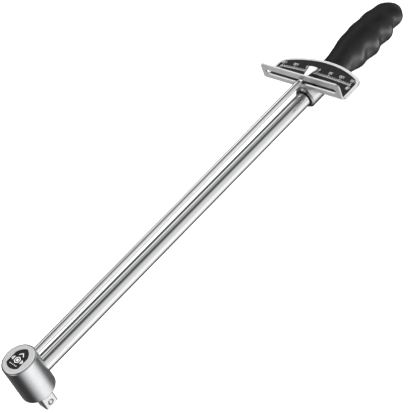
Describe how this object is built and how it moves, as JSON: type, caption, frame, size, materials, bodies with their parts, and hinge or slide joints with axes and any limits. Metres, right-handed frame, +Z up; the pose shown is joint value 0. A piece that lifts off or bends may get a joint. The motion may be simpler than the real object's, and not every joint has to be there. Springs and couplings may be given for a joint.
{
  "type": "torque wrench",
  "caption": "Beam torque wrench: square-drive head, long round bending beam, swinging pointer over a D-shaped dial, and a moulded grip.",
  "frame": {"origin": "centre of the square drive's end face, where a socket goes on", "axes": "+Z up the drive axis through the head, +X along the beam from the head to the grip, dial facing +Z"},
  "size_m": [0.5338, 0.1, 0.0647],
  "materials": {
    "chromed_steel": "satin chrome on a forging",
    "polished_ball": "polished hardened steel",
    "spring_wire": "bare drawn wire",
    "badge_enamel": "semi-gloss black enamel",
    "chromed_beam": "polished chrome with faint lengthwise grinding",
    "bare_steel": "ground steel",
    "chromed_pointer": "satin chrome",
    "chromed_tube": "polished chrome",
    "bush_steel": "turned steel",
    "black_plastic": "moulded plastic",
    "plate_steel": "satin sheet steel, bright at its edges",
    "screw_steel": "zinc-plated",
    "dial_black": "semi-matt black, printed in white",
    "rivet_aluminium": "bright",
    "grip_black": "satin black with soft highlights"
  },
  "bodies": {
    "frame": {"drive_head": "chromed_steel", "head_badge": "badge_enamel", "beam": "chromed_beam", "beam_pin": "bare_steel", "pointer_pin": "bare_steel", "handle_tube": "chromed_tube", "front_bush": "bush_steel", "rear_bush": "bush_steel", "handle_pin": "bare_steel", "tube_plug": "black_plastic", "scale_plate": "plate_steel", "scale_bracket_left": "bare_steel", "scale_bracket_right": "bare_steel", "scale_screws": "screw_steel", "dial_face": "dial_black", "dial_rivets": "rivet_aluminium", "grip": "grip_black", "detent_spring": "spring_wire"},
    "pointer": {"pointer": "chromed_pointer"},
    "detent": {"detent_ball": "polished_ball"}
  },
  "joints": [
    {"name": "pointer_swing", "type": "hinge", "parent": "frame", "child": "pointer", "pos_m": [0.008, 0, 0.05275], "axis": [0, 0, 1], "range_deg": [-6.3, 6.3], "stiffness_Nm_per_rad": 12},
    {"name": "detent_push", "type": "slide", "parent": "frame", "child": "detent", "axis": [0, 1, 0], "range_m": [0, 0.0011], "stiffness_N_per_m": 2500, "springref_m": -0.002, "deforming": ["detent_spring"]}
  ]
}
